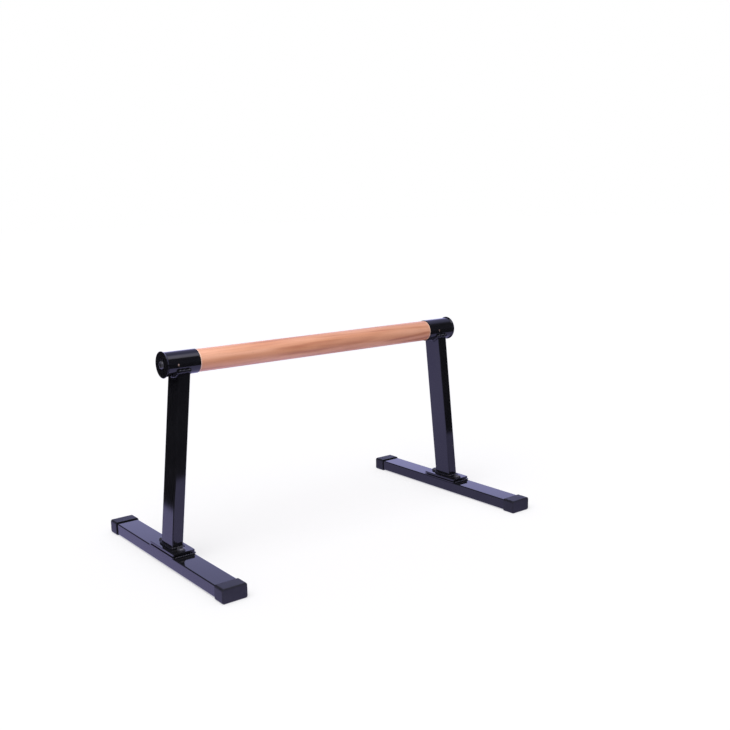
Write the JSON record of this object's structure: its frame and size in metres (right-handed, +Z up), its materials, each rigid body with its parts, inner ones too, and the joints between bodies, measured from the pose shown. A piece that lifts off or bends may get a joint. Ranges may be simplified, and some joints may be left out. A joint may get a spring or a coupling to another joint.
{
  "type": "parallette bar",
  "caption": "Low free-standing parallette: round wooden grip held between leaning black steel uprights on flat tube feet with slip-on end caps.",
  "frame": {"origin": "on the floor, under the middle of the grip", "axes": "+X along the grip, +Y along the base tubes, +Z up"},
  "size_m": [0.6698, 0.403, 0.354],
  "materials": {
    "beech": "clear satin lacquer",
    "black_enamel": "gloss black enamel on steel",
    "cap_plastic": "moulded black plastic",
    "black_oxide": "black oxide on steel",
    "zinc": "bright zinc plate",
    "insert_brass": "plain"
  },
  "bodies": {
    "root": {"grip_bar": "beech", "left_sleeve": "black_enamel", "left_end_disc": "black_enamel", "left_upright": "black_enamel", "left_sleeve_weld": "black_enamel", "left_foot_weld": "black_enamel", "left_foot_plate": "black_enamel", "left_base_pad": "black_enamel", "left_pad_welds": "black_enamel", "left_base_tube": "black_enamel", "left_front_cap": "cap_plastic", "left_back_cap": "cap_plastic", "right_sleeve": "black_enamel", "right_end_disc": "black_enamel", "right_upright": "black_enamel", "right_sleeve_weld": "black_enamel", "right_foot_weld": "black_enamel", "right_foot_plate": "black_enamel", "right_base_pad": "black_enamel", "right_pad_welds": "black_enamel", "right_base_tube": "black_enamel", "right_front_cap": "cap_plastic", "right_back_cap": "cap_plastic", "end_bolts": "black_oxide", "foot_screws": "black_oxide", "rivet_nuts": "zinc", "threaded_inserts": "insert_brass"}
  },
  "joints": []
}
